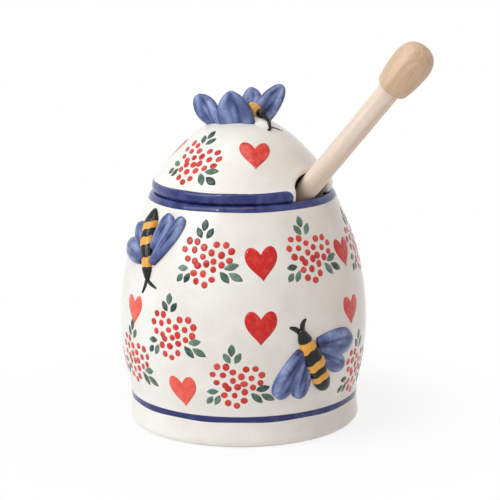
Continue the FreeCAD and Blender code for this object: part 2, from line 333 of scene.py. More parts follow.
finishes = {"white": whiteFinish(), "wing": wingFinish(), "stripes": stripeFinish(), "black": blackFinish()}
for name in paintColors:
    finishes[name] = paintFinish(name)
for name in woodColors:
    finishes[name] = woodFinish(name)
print("finishes made:", len(finishes))


# shapes
def smoothPath(knots, step):  # natural cubic curve through (radius, height) knots
    marks = [0.0]
    for a, b in zip(knots, knots[1:]):
        marks.append(marks[-1] + math.dist(a, b))
    last = len(knots) - 1
    sides = []
    for axis in (0, 1):
        values = [k[axis] for k in knots]
        ratio, right, curl = [0.0] * (last + 1), [0.0] * (last + 1), [0.0] * (last + 1)
        for i in range(1, last):
            before, after = marks[i] - marks[i - 1], marks[i + 1] - marks[i]
            change = (values[i + 1] - values[i]) / after - (values[i] - values[i - 1]) / before
            divide = 2 * (before + after) - before * ratio[i - 1]
            ratio[i] = after / divide
            right[i] = (6 * change - before * right[i - 1]) / divide
        for i in range(last - 1, 0, -1):
            curl[i] = right[i] - ratio[i] * curl[i + 1]
        sides.append((values, curl))

    def at(m):
        i = max(0, min(bisect.bisect_right(marks, m) - 1, last - 1))
        span = marks[i + 1] - marks[i]
        b = (m - marks[i]) / span
        a = 1 - b
        return tuple(a * v[i] + b * v[i + 1] + ((a ** 3 - a) * c[i] + (b ** 3 - b) * c[i + 1]) * span * span / 6
                     for v, c in sides)
    count = max(2, round(marks[-1] / step))
    return [at(marks[-1] * k / count) for k in range(count + 1)]


def roundPath(centre, radius, fromDeg, toDeg, count):
    angles = [math.radians(fromDeg + (toDeg - fromDeg) * k / count) for k in range(count + 1)]
    return [(centre[0] + radius * math.cos(a), centre[1] + radius * math.sin(a)) for a in angles]


def archPath(a, b, c, count):  # circle through three points, from the first to the last
    ax, ay, bx, by, cx, cy = *a, *b, *c
    d = 2 * (ax * (by - cy) + bx * (cy - ay) + cx * (ay - by))
    ux = ((ax * ax + ay * ay) * (by - cy) + (bx * bx + by * by) * (cy - ay) + (cx * cx + cy * cy) * (ay - by)) / d
    uy = ((ax * ax + ay * ay) * (cx - bx) + (bx * bx + by * by) * (ax - cx) + (cx * cx + cy * cy) * (bx - ax)) / d
    start, end = math.atan2(ay - uy, ax - ux), math.atan2(cy - uy, cx - ux)
    return roundPath((ux, uy), math.hypot(ax - ux, ay - uy), math.degrees(start), math.degrees(end), count)


def poledPath(p, count):  # cubic curve on four poles
    path = []
    for k in range(count + 1):
        t = k / count
        w = ((1 - t) ** 3, 3 * t * (1 - t) ** 2, 3 * t * t * (1 - t), t ** 3)
        path.append((sum(a * q[0] for a, q in zip(w, p)), sum(a * q[1] for a, q in zip(w, p))))
    return path


def handMade(turn, r, z, amount):  # how far a thrown wall strays from true
    return amount * min(r / 40, 1) * (math.sin(2 * turn + 0.7 + z * 0.03) + 0.6 * math.sin(3 * turn - 1.3 - z * 0.05))


def makeSkin(points, wobble):
    lengths = [0.0]
    for a, b in zip(points, points[1:]):
        lengths.append(lengths[-1] + math.dist(a, b))
    return {"points": points, "lengths": lengths, "wobble": wobble}


def skinSpot(skin, climb):
    lengths, points = skin["lengths"], skin["points"]
    i = max(0, min(bisect.bisect_right(lengths, climb) - 1, len(lengths) - 2))
    span = lengths[i + 1] - lengths[i]
    f = (climb - lengths[i]) / span
    (r0, z0), (r1, z1) = points[i], points[i + 1]
    return r0 + (r1 - r0) * f, z0 + (z1 - z0) * f, (r1 - r0) / span, (z1 - z0) / span


def skinPoint(skin, turn, climb, lift=0.0):
    r, z, dr, dz = skinSpot(skin, climb)
    r += dz * lift + handMade(turn, r, z, skin["wobble"])
    return Vector((r * math.cos(turn), r * math.sin(turn), z - dr * lift)) * mm


def climbAt(skin, height):
    for (a, b), length in zip(zip(skin["points"], skin["points"][1:]), skin["lengths"]):
        if a[1] <= height <= b[1]:
            return length + (height - a[1]) / max(b[1] - a[1], 1e-9) * math.dist(a, b)
    return skin["lengths"][-1]


def makePiece(name, verts, faces, finish, body, nodes=(), marks=None, place=None):
    mesh = bpy.data.meshes.new(name)
    mesh.from_pydata([tuple(v) for v in verts], [], faces)
    for label, values in (marks or {}).items():
        layer = mesh.attributes.new(label, "FLOAT", "POINT")
        layer.data.foreach_set("value", values)
    mesh.polygons.foreach_set("use_smooth", [True] * len(mesh.polygons))
    mesh.materials.append(finishes[finish])
    work = bmesh.new()
    work.from_mesh(mesh)
    bmesh.ops.recalc_face_normals(work, faces=work.faces)
    work.to_mesh(mesh)
    work.free()
    piece = bpy.data.objects.new(name, mesh)
    scene.collection.objects.link(piece)
    if place:
        piece.matrix_world = place
    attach(piece, body)
    if nodes:
        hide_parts(*nodes)


def joinRings(faces, low, high, count):  # a band of faces between two rings, given by their first points
    for k in range(count):
        n = (k + 1) % count
        faces.append((low + k, low + n, high + n, high + k))


def turnedMesh(profile, columns, wobble=0.0):  # profile from axis to axis, outside on its right hand
    verts, faces, rings = [], [], []
    for r, z in profile:
        if r < near:
            rings.append([len(verts)])
            verts.append(Vector((0, 0, z)) * mm)
            continue
        rings.append(list(range(len(verts), len(verts) + columns)))
        for turn in turnsOf(columns):
            wide = r + handMade(turn, r, z, wobble)
            verts.append(Vector((wide * math.cos(turn), wide * math.sin(turn), z)) * mm)
    for low, high in zip(rings, rings[1:]):
        for k in range(columns):
            n = (k + 1) % columns
            if len(low) == 1:
                faces.append((low[0], high[n], high[k]))
            elif len(high) == 1:
                faces.append((low[k], low[n], high[0]))
            else:
                faces.append((low[k], low[n], high[n], high[k]))
    return verts, faces


def loftMesh(rings, startPoint, endPoint):  # closed skin over rings of equal count, with a point at each end
    count, faces = len(rings[0]), []
    verts = [startPoint] + [v for ring in rings for v in ring] + [endPoint]
    last = len(verts) - 1
    for i in range(len(rings) - 1):
        joinRings(faces, 1 + i * count, 1 + (i + 1) * count, count)
    for k in range(count):
        n = (k + 1) % count
        faces += [(0, 1 + n, 1 + k), (last - count + k, last - count + n, last)]
    return verts, faces


# pot
potForm = {
    "footRadius": 48.2, "ringWidth": 5.0, "recess": 1.6,
    "heelArc": [(48.2, 0.0), (50.54, 1.22), (51.2, 3.8)],
    "wallKnots": [(51.2, 3.8), (50.6, 12.5), (53.0, 26.0), (55.0, 47.0), (48.6, 84.0), (41.01, 102.35)],
    "insideKnots": [(37.2, 101.5), (43.72, 84.0), (50.4, 47.0), (48.4, 26.0), (46.0, 14.5)],
    "rimCentre": (39.2, 101.5), "rimRound": 2.0, "floor": 6.5, "corner": 8.0, "innerFoot": 46.0,
    "floorRings": (24, 10, 0), "underRings": (0, 14, 28), "bareBelow": 0.4, "columns": 224, "wobble": 0.07,
}


def buildPot():
    p = potForm
    wall = smoothPath(p["wallKnots"], 0.7)
    rim = roundPath(p["rimCentre"], p["rimRound"], 25, 180, 18)
    inside = smoothPath(p["insideKnots"], 1.6)
    ringIn, recess, inner = p["footRadius"] - p["ringWidth"], p["recess"], p["innerFoot"]
    corner = roundPath((inner - p["corner"], p["floor"] + p["corner"]), p["corner"], 0, -90, 8)
    under = [(r, recess) for r in p["underRings"]] + [(ringIn - 1.9, recess), (ringIn - 1.4, recess - 0.2)]
    under += [(ringIn - 0.3, 0.2), (ringIn + 0.3, 0.0), (inner, 0.0)]
    heel = archPath(*p["heelArc"], 8)
    profile = under + heel + wall[1:] + rim[1:] + inside[1:] + corner[1:] + [(r, p["floor"]) for r in p["floorRings"]]
    verts, faces = turnedMesh(profile, p["columns"], p["wobble"])
    bare = [1.0 if v.z < p["bareBelow"] * mm else 0.0 for v in verts]
    makePiece("pot_wall", verts, faces, "white", "pot", ["pot_body"], {"bare": bare})
    return makeSkin(wall + rim[1:], p["wobble"])


potSkin = buildPot()
print("pot turned")


# lid
lidForm = {
    "edgeKnots": [(37.4, 103.5), (38.4, 103.56), (39.3, 104.2), (39.86, 105.5), (39.9, 106.8), (39.42, 108.3),
                  (38.4, 109.4)],
    "domePoles": [(38.4, 109.4), (32.7, 117.4), (18.1, 137.0), (0.0, 137.0)],
    "hollowPoles": [(0.0, 132.4), (15.57, 132.4), (29.48, 115.1), (33.0, 107.56)],
    "flange": [(33.0, 104.5), (33.0, 101.0), (33.0, 98.3), (33.35, 97.65), (34.0, 97.5), (35.2, 97.5), (35.9, 97.65),
               (36.2, 98.3), (36.2, 101.0), (36.2, 102.9), (36.45, 103.4)],
    "notchHalf": {1: 13.8, -1: 12.0}, "notchSpring": 106.0, "notchRise": 7.4,  # half width to either side of the shaft
    "lip": 1.8, "topLip": 2.8, "lipFade": 1.6, "rollSteps": 5, "columns": 176, "wobble": 0.05,
    "climbs": (0, 8, 16, 24, 32, 40, 48, 55, 61, 67, 72, 77, 81, 85, 88, 90), "overTop": (0.15, 0.4, 0.8, 1.3),
}


def notchHalfAt(z, side, grow, topGrow):
    half = lidForm["notchHalf"][side] + grow
    over = (z - lidForm["notchSpring"]) / (lidForm["notchRise"] + topGrow)
    return half if over <= 0 else half * math.sqrt(max(1 - over * over, 0.0))


def lipAt(z):  # width of the notch's soft lip, which fades out at the seat
    share = clamped((z - lidForm["edgeKnots"][0][1]) / lidForm["lipFade"])
    return lidForm["lip"] * share * share * (3 - 2 * share)


def levelled(path, levels):  # adds a point to the path wherever it crosses one of the heights
    made = [path[0]]
    for a, b in zip(path, path[1:]):
        cuts = [z for z in levels if min(a[1], b[1]) + near < z < max(a[1], b[1]) - near]
        for z in sorted(cuts, reverse=a[1] > b[1]):
            f = (z - a[1]) / (b[1] - a[1])
            made.append((a[0] + (b[0] - a[0]) * f, z))
        made.append(b)
    return made


def addFace(faces, corners):  # leaves out corners that fall together
    corners = tuple(dict.fromkeys(corners))
    if len(corners) > 2:
        faces.append(corners)


def buildLid():
    p = lidForm
    spring, rise, lip, columns, rolls = p["notchSpring"], p["notchRise"], p["topLip"], p["columns"], p["rollSteps"]
    climbs = [math.sin(math.radians(a)) for a in p["climbs"]]
    inside = levelled(poledPath(p["hollowPoles"], 30) + p["flange"], [spring + rise * c for c in climbs])
    outside = smoothPath(p["edgeKnots"], 0.45) + poledPath(p["domePoles"], 44)[1:]
    top = spring + rise + lip
    outside = levelled(outside, [spring + (rise + lip) * c for c in climbs] + [top + over for over in p["overTop"]])
    path, first = inside + outside, len(inside)
    skin = makeSkin(outside, p["wobble"])
    verts, rows, faces = [], [], []
    for i, (r, z) in enumerate(path):
        if r < near:
            rows.append([len(verts)])
            verts.append(Vector((0, 0, z)) * mm)
            continue
        grow, topGrow = (lipAt(z), lip) if i >= first else (0.0, 0.0)
        whole = z > spring + rise + topGrow - near
        start, stop = (0.0 if whole else math.asin(notchHalfAt(z, side, grow, topGrow) / r) for side in (1, -1))
        ring = []
        for k in range(columns if whole else columns + 1):
            turn = start + (2 * math.pi - start - stop) * k / columns
            wide = r + handMade(turn, r, z, p["wobble"])
            ring.append(len(verts))
            verts.append(Vector((wide * math.cos(turn), wide * math.sin(turn), z)) * mm)
        rows.append(ring + ring[:1] if whole else ring)
    for low, high in zip(rows, rows[1:]):
        for k in range(columns):
            a, b = min(k, len(low) - 1), min(k, len(high) - 1)
            c, d = min(k + 1, len(low) - 1), min(k + 1, len(high) - 1)
            addFace(faces, (low[a], low[c], high[d], high[b]))

    # the lip rolls from the outside into the arch, from one foot over the top to the other
    cut = [i for i in range(first, len(path)) if path[i][1] < top + near]
    outer = [(rows[i][0], path[i][1], 1) for i in cut]
    outer += [(rows[i][-1], path[i][1], -1) for i in reversed(cut[:-1])]
    strips, arch = [], []
    for corner, z, side in outer:
        grow = lipAt(z)
        a = math.asin(clamped((z - spring) / (rise + lip)))
        deep = grow + (lip - grow) * math.sin(a)
        strip = [corner] * (rolls + 1)
        if grow > near:
            for step in range(1, rolls + 1):
                roll = math.radians(90 / rolls * step)
                rest = 1 - math.sin(roll)
                y = side * (p["notchHalf"][side] + grow * rest) * math.cos(a)
                height = spring + (rise + lip * rest) * math.sin(a) if z > spring else z
                r = skinSpot(skin, climbAt(skin, height))[0]
                strip[step] = len(verts)
                verts.append(Vector((math.sqrt(r * r - y * y) - deep * (1 - math.cos(roll)), y, height)) * mm)
        strips.append(strip)
        if z > spring - near:
            arch.append((strip[-1], a if side > 0 else math.pi - a))
    for a, b in zip(strips, strips[1:]):
        for j in range(rolls):
            addFace(faces, (a[j], b[j], b[j + 1], a[j + 1]))

    # clay between the lip and the hollow side
    rising = [i for i in range(first) if spring - near < path[i][1] < spring + rise + near][::-1]
    bend = [math.asin(clamped((path[i][1] - spring) / rise)) for i in rising]
    inner = [(rows[i][0], a) for i, a in zip(rising, bend)]
    inner += [(rows[i][-1], math.pi - a) for i, a in reversed(list(zip(rising, bend))[:-1])]
    i = j = 0
    while i < len(arch) - 1 or j < len(inner) - 1:
        if j == len(inner) - 1 or (i < len(arch) - 1 and arch[i + 1][1] <= inner[j + 1][1]):
            addFace(faces, (arch[i][0], arch[i + 1][0], inner[j][0]))
            i += 1
        else:
            addFace(faces, (arch[i][0], inner[j + 1][0], inner[j][0]))
            j += 1
    legs = [strip[-1] for strip, (corner, z, side) in zip(strips, outer) if z < spring + near]
    middle = len(legs) // 2
    addFace(faces, [rows[i][0] for i in range(rising[0], first)] + legs[:middle])
    addFace(faces, [rows[i][-1] for i in range(rising[0], first)] + legs[middle:][::-1])
    makePiece("lid_dome", verts, faces, "white", "lid", ["lid_shell"], {"bare": [0.0] * len(verts)})
    return skin


lidSkin = buildLid()
print("lid turned and notched")


# painted motifs, thin patches of colour that lie on the wall
def newPatch():
    return {"verts": [], "faces": [], "wash": []}


def stampPlace(skin, turn, climb, tilt):  # x to the viewer's right, y up the wall, tilt clockwise
    c, s = math.cos(math.radians(tilt)), math.sin(math.radians(tilt))

    def place(x, y, lift):
        across, up = x * c + y * s, y * c - x * s
        return skinPoint(skin, turn + across / skinSpot(skin, climb + up)[0], climb + up, lift)
    return place


paintLift = 0.06  # mm that the colour stands over the wall
paintRoot = {"edge": -0.15, "middle": -0.3, "stroke": -0.2}  # where its closed underside lies, within the wall


def makePaint(name, patch, finish, body):
    makePiece(name, patch["verts"], patch["faces"], finish, body, (), {"wash": patch["wash"]})


def layPatch(patch, place, outline, centre, rings, wash):
    count, first = len(outline), len(patch["verts"])
    verts, faces = patch["verts"], patch["faces"]
    verts.append(place(*centre, paintLift))
    for ring in range(1, rings + 1):
        f = ring / rings
        lift = paintLift if ring < rings else paintLift * 0.6
        for x, y in outline:
            verts.append(place(centre[0] + (x - centre[0]) * f, centre[1] + (y - centre[1]) * f, lift))
    for x, y in outline:
        verts.append(place(x, y, paintRoot["edge"]))
    verts.append(place(*centre, paintRoot["middle"]))
    last = len(verts) - 1
    patch["wash"] += [wash] * (last - first + 1)
    for ring in range(rings):
        joinRings(faces, first + 1 + ring * count, first + 1 + (ring + 1) * count, count)
    for k in range(count):
        n = (k + 1) % count
        faces += [(first, first + 1 + k, first + 1 + n), (last, last - count + n, last - count + k)]


def heartOutline(width, height, count=44):
    outline = []
    for t in turnsOf(count):
        x = 16 * math.copysign(abs(math.sin(t)) ** 2.2, math.sin(t))
        y = 13 * math.cos(t) - 5 * math.cos(2 * t) - 2 * math.cos(3 * t) - math.cos(4 * t)
        outline.append((-x / 32 * width, (y + 2.5) / 29 * height))
    return outline


def leafOutline(x, y, length, width, angleDeg, count=9):
    c, s = math.cos(math.radians(angleDeg)), math.sin(math.radians(angleDeg))
    side = [(length * (k / count - 0.5), width / 2 * math.sin(math.pi * k / count) ** 0.85)
            for k in range(count + 1)]
    flat = [(a, -b) for a, b in side] + [(a, b) for a, b in reversed(side[1:-1])]
    return [(x + a * c - b * s, y + a * s + b * c) for a, b in flat]


berryBunch = {
    "rows": [(6.6, (-9.6, -5.8)), (5.6, (2.8, 6.8)), (4.2, (-2.7,)), (2.8, (-11.4, -7.0, 9.4)), (2.2, (0.8,)),
             (1.4, (5.2,)), (0.4, (-2.9,)), (-0.9, (-9.8, 8.9)), (-1.4, (1.9,)), (-2.0, (-6.2,)), (-2.6, (-1.0,)),
             (-2.9, (5.7,)), (-3.6, (-4.9,)), (-5.0, (2.0,)), (-6.8, (-6.6, -2.2)), (-9.1, (1.7,)), (-10.3, (-5.1,)),
             (-11.6, (-1.4,))],
    "dot": 1.48, "corners": 14, "stray": 0.15,
    "leaves": [  # middle, length, width and turn
        (-3.2, 13.8, 5.6, 3.2, 88), (-5.3, 10.4, 5.2, 2.9, 122), (-0.6, 10.4, 5.5, 2.9, 60),
        (-11.7, -5.2, 5.2, 2.8, 3), (-13.0, -9.4, 4.5, 2.7, 52), (-9.6, -9.2, 5.4, 2.7, 64),
        (9.9, -3.6, 6.4, 3.2, 14), (7.3, -8.1, 6.9, 3.1, -50), (12.0, -7.9, 7.0, 3.2, -27)],
}


def stampBunch(berries, leaves, place, luck):
    stray = berryBunch["stray"]
    for y, row in berryBunch["rows"]:
        for x in row:
            size = berryBunch["dot"] * luck.uniform(0.9, 1.1)
            cx, cy = x + luck.uniform(-stray, stray), y + luck.uniform(-stray, stray)
            squash = luck.uniform(0.92, 1.08)
            outline = [(cx + size * squash * math.cos(a), cy + size / squash * math.sin(a))
                       for a in turnsOf(berryBunch["corners"])]
            layPatch(berries, place, outline, (cx, cy), 2, luck.uniform(0.1, 0.75))
    for x, y, length, width, angle in berryBunch["leaves"]:
        outline = leafOutline(x, y, length * luck.uniform(0.94, 1.05), width, angle + luck.uniform(-4, 4))
        layPatch(leaves, place, outline, (x, y), 2, luck.uniform(0.0, 0.72))


# bearing from the viewer's line, height and tilt, then a heart's size and how thin its colour lies
potMotifs = {
    "seed": 11, "heartWidth": 14.0, "heartHeight": 14.7, "stray": 0.05,
    "hearts": [(9.2, 80.6, -3, 1.0, 0.06), (60.1, 80.1, 2, 0.86, 0.1), (-60.0, 56.0, -3, 0.88, 0.85),
               (7.7, 53.9, 1, 1.0, 0.06), (58.4, 55.3, 3, 0.86, 0.45), (-29.7, 24.3, -4, 0.97, 0.88)],
    "bunches": [(-16.9, 83.0, 0), (37.6, 83.2, 0), (-32.7, 50.8, 0), (-60.0, 35.0, 6), (-2.1, 30.8, 0),
                (68.6, 28.6, 4)],
    "backHearts": [(107, 81, 0, 0.92, 0.15), (158, 80, 2, 0.96, 0.35), (208, 82, -2, 0.9, 0.08),
                   (-100, 82, 0, 0.95, 0.2), (104, 54, 2, 0.9, 0.3), (152, 53, -3, 0.97, 0.1),
                   (212, 56, 2, 0.93, 0.6), (128, 27, 3, 0.95, 0.7), (178, 26, -2, 0.9, 0.5),
                   (232, 27, 2, 0.96, 0.75), (-84, 28, 0, 0.92, 0.8)],
    "backBunches": [(83, 81, 2), (132, 82, -2), (183, 82, 3), (234, 82, 0), (128, 56, 0), (182, 54, 2),
                    (-122, 54, -3), (104, 29, 2), (153, 29, 0), (206, 29, -3), (-102, 31, 3)],
}
lidMotifs = {
    "seed": 23, "heartWidth": 13.5, "heartHeight": 14.0, "stray": 0.0,
    "hearts": [(12.1, 123.0, 7, 1.0, 0.42)], "bunches": [(-39.6, 120.6, 8)],
    "backHearts": [(-96, 121.5, 0, 1.0, 0.3), (-196, 121.5, 0, 1.0, 0.15)],
    "backBunches": [(-147, 120.0, 4), (132, 120.0, -3)],
}


def paintMotifs(body, skin, motifs):
    hearts, berries, leaves = newPatch(), newPatch(), newPatch()
    luck, stray = random.Random(motifs["seed"]), motifs["stray"]
    for theta, z, tilt, grow, thin in motifs["hearts"] + motifs["backHearts"]:
        outline = heartOutline(motifs["heartWidth"] * grow, motifs["heartHeight"] * grow)
        place = stampPlace(skin, seen(theta), climbAt(skin, z), tilt)
        layPatch(hearts, place, outline, (0, 0.4), 6, thin + (luck.uniform(-stray, stray) if stray else 0.0))
    for theta, z, tilt in motifs["bunches"] + motifs["backBunches"]:
        stampBunch(berries, leaves, stampPlace(skin, seen(theta), climbAt(skin, z), tilt), luck)
    makePaint(body + "_hearts", hearts, "heartPaint", body)
    makePaint(body + "_berries", berries, "berryPaint", body)
    makePaint(body + "_leaves", leaves, "leafPaint", body)


paintMotifs("pot", potSkin, potMotifs)
paintMotifs("lid", lidSkin, lidMotifs)
print("motifs painted")


# brushed bands
bands = {
    "rimLow": 101.0, "rimTurn": 102.3, "rimOver": 4.4, "footMiddle": 12.7, "footWidth": 2.7, "lidLow": 0.1,
    "lidTop": 108.8, "notchMargin": 0.4, "farMargin": 5.6, "bead": 39.9, "lidColumns": 280, "rows": 9,
    "endTurn": 0.085, "endDrop": 0.55,
    "ragged": {"rim": 0.18, "foot": 0.22, "lid": 0.2}, "thin": {"rim": 0.28, "foot": 0.08, "lid": 0.28},
}


def bandMesh(skin, low, high, fromTurn, toTurn, columns, luck, ragged, thin):
    closed = abs(toTurn - fromTurn - 2 * math.pi) < near
    rows = bands["rows"]
    phases = [(luck.uniform(0, 6.3), luck.choice((3, 5, 7, 11))) for _ in range(4)]
    verts, faces, wash = [], [], []
    count = columns if closed else columns + 1
    ringSize = rows + 2
    for k in range(count):
        share = k / columns
        if not closed:  # finer towards the ends
            share -= 0.85 * math.sin(2 * math.pi * share) / (2 * math.pi)
        turn = fromTurn + (toTurn - fromTurn) * share
        sway = [ragged * sum(math.sin(n * turn + f) for f, n in phases[i:i + 2]) / 2 for i in (0, 2)]
        a, b = low + sway[0], high + sway[1]
        if not closed:  # brush lifts off in a round end
            end = min(turn - fromTurn, toTurn - turn) / bands["endTurn"]
            if end < 1:
                b -= (b - a) * bands["endDrop"] * (1 - math.sqrt(max(1 - (1 - end) ** 2, 0.0)))
        for i in range(rows):
            lift = paintLift if 0 < i < rows - 1 else paintLift * 0.5
            verts.append(skinPoint(skin, turn, a + (b - a) * i / (rows - 1), lift))
        verts += [skinPoint(skin, turn, edge, paintRoot["stroke"]) for edge in (b, a)]
        wash += [thin + 0.16 * math.sin(2 * turn + 1.0)] * ringSize
    for k in range(columns):
        joinRings(faces, k * ringSize, (k + 1) % count * ringSize, ringSize)
    if not closed:
        faces += [tuple(range(end, end + ringSize)) for end in (0, columns * ringSize)]
    return {"verts": verts, "faces": faces, "wash": wash}


def paintBands():
    b, luck = bands, random.Random(5)
    foot, half = climbAt(potSkin, b["footMiddle"]), b["footWidth"] / 2
    rim = (climbAt(potSkin, b["rimLow"]), climbAt(potSkin, b["rimTurn"]) + b["rimOver"])
    for key, (low, high) in {"rim": rim, "foot": (foot - half, foot + half)}.items():
        patch = bandMesh(potSkin, low, high, 0, 2 * math.pi, potForm["columns"], luck, b["ragged"][key], b["thin"][key])
        makePaint("pot_" + key + "_band", patch, "cobaltPaint", "pot")
    start, stop = (math.asin((lidForm["notchHalf"][side] + lidForm["lip"] + margin) / b["bead"])
                   for side, margin in ((1, b["farMargin"]), (-1, b["notchMargin"])))
    patch = bandMesh(lidSkin, b["lidLow"], climbAt(lidSkin, b["lidTop"]), start, 2 * math.pi - stop, b["lidColumns"],
                     luck, b["ragged"]["lid"], b["thin"]["lid"])
    makePaint("lid_edge_band", patch, "cobaltPaint", "lid")


paintBands()
print("bands painted")


def layStroke(patch, place, points, wide, lift, wash):  # one brush stroke, full at its start and thinner at its tip
    root = paintRoot["stroke"]
    section = [(-1, root), (-1, lift * 0.3), (-0.6, lift * 0.8), (0, lift)]
    section += [(-across, rise) for across, rise in section[2::-1]]
    first, count, size = len(patch["verts"]), len(points), len(section)
    for i, (x, y) in enumerate(points):
        a, b = points[max(i - 1, 0)], points[min(i + 1, count - 1)]
        run, s = math.dist(a, b), i / (count - 1)
        half = wide / 2 * (0.72 + 0.28 * math.sin(math.pi * s))
        half *= math.sqrt(max(1 - max(s - 0.55, 0) ** 2 / 0.29, 0.02))
        nx, ny = -(b[1] - a[1]) / run * half, (b[0] - a[0]) / run * half
        patch["verts"] += [place(x + nx * across, y + ny * across, rise) for across, rise in section]
        patch["wash"] += [wash] * size
    for i in range(count - 1):
        joinRings(patch["faces"], first + i * size, first + (i + 1) * size, size)
    patch["faces"] += [tuple(range(end, end + size)) for end in (first, first + (count - 1) * size)]


# places on a bee are ahead of its middle and out from its line, along the wall; wings are root, tip and half width
wallBees = {
    "front_bee": {
        "turn": -21.5, "height": 36.6, "heading": -22.6, "slant": 0.28, "shift": 1.3, "bend": (1.6, 0.0), "flat": 0.94,
        "girth": [(-15.3, 0.0), (-14.95, 1.5), (-13.5, 2.95), (-10.5, 3.95), (-3.0, 4.55), (3.0, 4.5), (7.0, 3.85),
                  (11.2, 3.0)],
        "headGirth": [(9.9, 2.0), (10.8, 2.95), (12.4, 2.95), (14.4, 2.2), (16.0, 1.5), (16.7, 0.8), (16.9, 0.0)],
        "wings": {
            "left_forewing": ((7.4, 2.6), (-7.0, 20.6), 5.4), "left_hindwing": ((2.4, 3.0), (-12.0, 11.6), 4.6),
            "right_forewing": ((6.5, 4.2), (-3.2, 23.7), 6.2), "right_hindwing": ((1.6, 4.6), (-11.4, 14.8), 4.6),
        },
        "feelers": [([(13.6, -0.3), (16.2, -0.9), (18.0, -1.9), (19.8, -3.9)], 2.2),
                    ([(13.6, 0.6), (16.4, 1.1), (18.4, 2.2), (19.6, 4.4)], 2.3)],
    },
    "side_bee": {
        "turn": -110.5, "height": 85.9, "heading": 164.5, "slant": 0.3, "shift": 1.7, "bend": (0.0, 1.2), "flat": 0.72,
        "girth": [(-15.1, 0.0), (-14.7, 0.7), (-12.4, 2.6), (-9.0, 4.2), (-4.0, 4.2), (1.0, 3.8), (7.0, 3.1),
                  (12.0, 2.5)],
        "headGirth": [(10.5, 1.9), (11.3, 2.55), (12.8, 2.45), (14.6, 1.8), (16.2, 1.2), (16.9, 0.7), (17.1, 0.0)],
        "wings": {
            "left_forewing": ((9.6, 2.9), (-7.7, 20.8), 3.9), "left_hindwing": ((3.4, 2.8), (-10.3, 13.2), 4.5),
            "right_forewing": ((7.2, 3.2), (-0.8, 21.6), 5.0), "right_hindwing": ((2.0, 3.6), (-9.0, 14.0), 4.3),
        },
        "feelers": [([(13.8, 0.5), (17.0, 1.2), (19.5, 2.4), (22.0, 4.2)], 1.8),
                    ([(13.8, 0.2), (16.6, 0.2), (18.7, -1.7), (20.8, -4.6)], 1.7)],
    },
}
beeForm = {
    "lift": 0.5, "relief": 2.6, "hindRelief": 0.86, "widest": 0.64, "root": 0.5, "point": 0.32, "wingRoot": -0.7,
    "steps": 36, "across": 26, "under": 6, "feelerLift": 0.45, "feelerWash": 0.15,
    "stripes": [-9.1, -6.0, -2.8, 0.6, 5.9, 20.0],  # where black and yellow change over, from the tail
}


def leafShare(s, widest, root, point):  # a low point value makes a blunt tip
    if s > widest:
        return max(1 - ((s - widest) / (1 - widest)) ** 2, 0.0) ** point
    return root + (1 - root) * math.sin(math.pi / 2 * s / widest) ** 0.8


def stripeAt(ahead, around, seed):  # 1 black, 0 yellow, with a brushed edge
    ahead += 0.26 * math.sin(3 * around + seed) + 0.14 * math.sin(7 * around + 2 * seed)
    value = 1.0
    for n, line in enumerate(beeForm["stripes"]):
        value += (1 if n % 2 else -1) * clamped((ahead - line) / 0.5 + 0.5)
    return clamped(value)


def groovesAt(s, t):  # scored lines along a wing, 0 to 1
    value = 0.0
    for middle, deep in ((-0.3, 0.7), (0.34, 1.0)):
        at = middle * (0.3 + 0.7 * s) + 0.05 * math.sin(4 * s)
        fade = clamped(s / 0.12) * clamped((0.92 - s) / 0.3)
        value = max(value, deep * math.exp(-((t - at) / 0.12) ** 2) * fade)
    return value


def inkAndShadeAt(s, t, seed):  # the wash pools in the scored lines and along the rim; the darker root is painted shade where the wing meets the wall
    rim = max(abs(t) - 0.7, 0.0) / 0.3
    root = max(0.26 - s, 0.0) / 0.26
    pool = math.exp(-((s - 0.8) / 0.13) ** 2 - ((t - 0.3 * math.sin(seed)) / 0.35) ** 2)
    cloud = 0.15 * math.sin(5 * s + 3 * t + seed) + 0.1 * math.sin(9 * s - 5 * t + 2 * seed)
    # the root term is painted shade at the wing's join with the wall; the grooves, rim and pool terms are the pooled
    # wash
    return 0.34 + cloud + 0.42 * groovesAt(s, t) + 0.42 * root + 0.3 * rim ** 2 + 0.26 * pool


def rolledLump(path, around, spot):  # closed lump round a path of (ahead, radius), placed by spot(ahead, aside, rise)
    turns = turnsOf(around)
    rings = [[spot(p, r * math.cos(a), r * math.sin(a)) for a in turns] for p, r in path[1:-1]]
    verts, faces = loftMesh(rings, spot(path[0][0], 0, 0), spot(path[-1][0], 0, 0))
    marks = [(path[0][0], 0.0, 0.0)] + [(p, r * math.cos(a), a) for p, r in path[1:-1] for a in turns]
    return verts, faces, marks + [(path[-1][0], 0.0, 0.0)]


def beeGirth(knots, step, shift=0.0):  # a shallow dent where each painted stripe was scored
    return [(p, r * (1 - 0.03 * sum(math.exp(-((p - shift - line) / 0.45) ** 2) for line in beeForm["stripes"])))
            for p, r in smoothPath(knots, step)]


